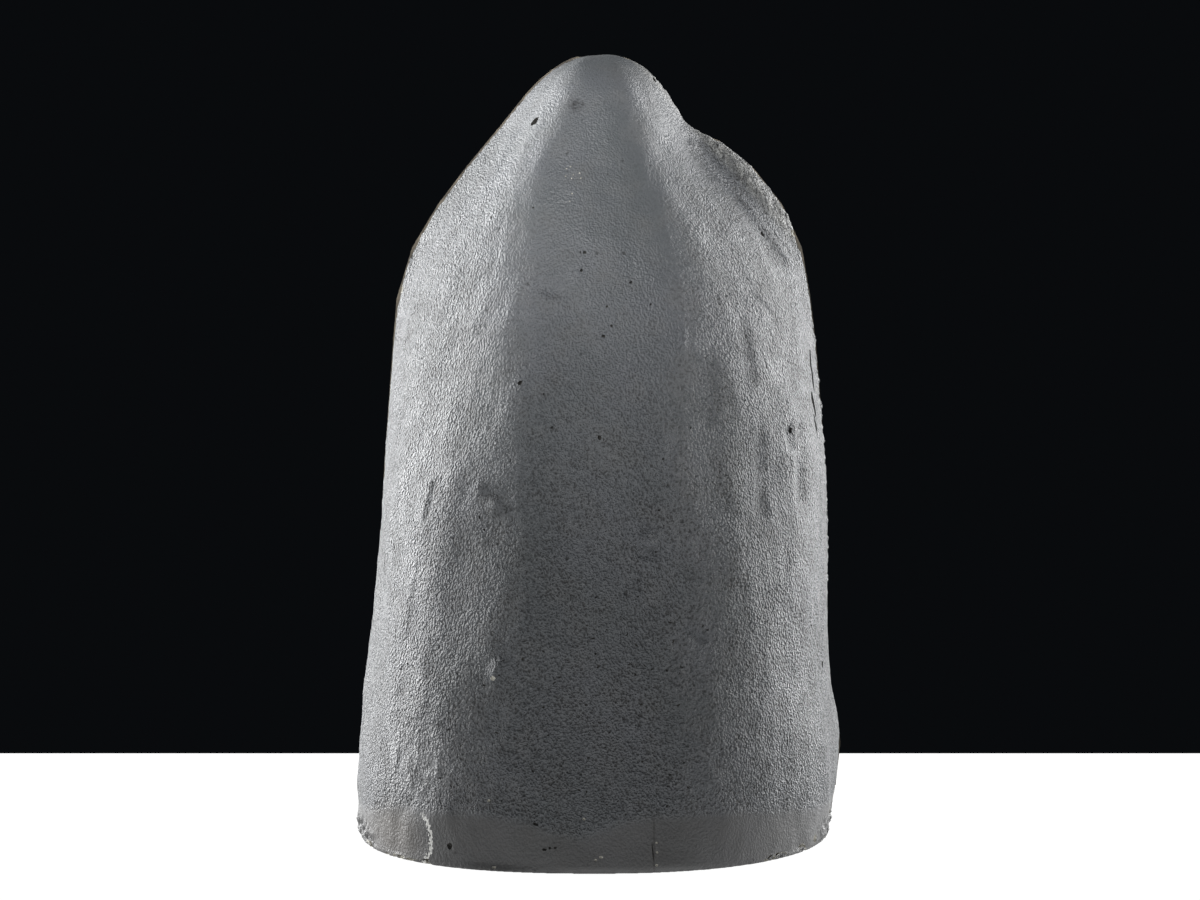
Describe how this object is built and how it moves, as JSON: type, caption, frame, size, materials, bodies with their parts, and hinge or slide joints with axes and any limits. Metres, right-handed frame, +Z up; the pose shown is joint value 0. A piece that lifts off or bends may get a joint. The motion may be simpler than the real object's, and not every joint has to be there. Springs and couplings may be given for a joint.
{
  "type": "amethyst geode",
  "caption": "Tall half amethyst geode on its flat foot: grey painted mortar over the back and sides, banded stone wall, hollow lined with purple crystal points.",
  "frame": {"origin": "under the middle of the bounding box, on the surface that the foot stands on", "axes": "+Z up to the apex; +Y out of the sawn face, where the crystals show; the mortar-covered back faces -Y"},
  "size_m": [0.2481, 0.15, 0.3941],
  "materials": {
    "painted_mortar": "satin grey paint over brushed sandy mortar",
    "agate_stone": "banded agate, sawn and polished on the face, rough basalt skin behind",
    "amethyst": "clear purple crystal with bright natural faces"
  },
  "bodies": {
    "root": {"mortar_jacket": "painted_mortar", "agate_rind": "agate_stone", "amethyst_crystals": "amethyst"}
  },
  "joints": []
}
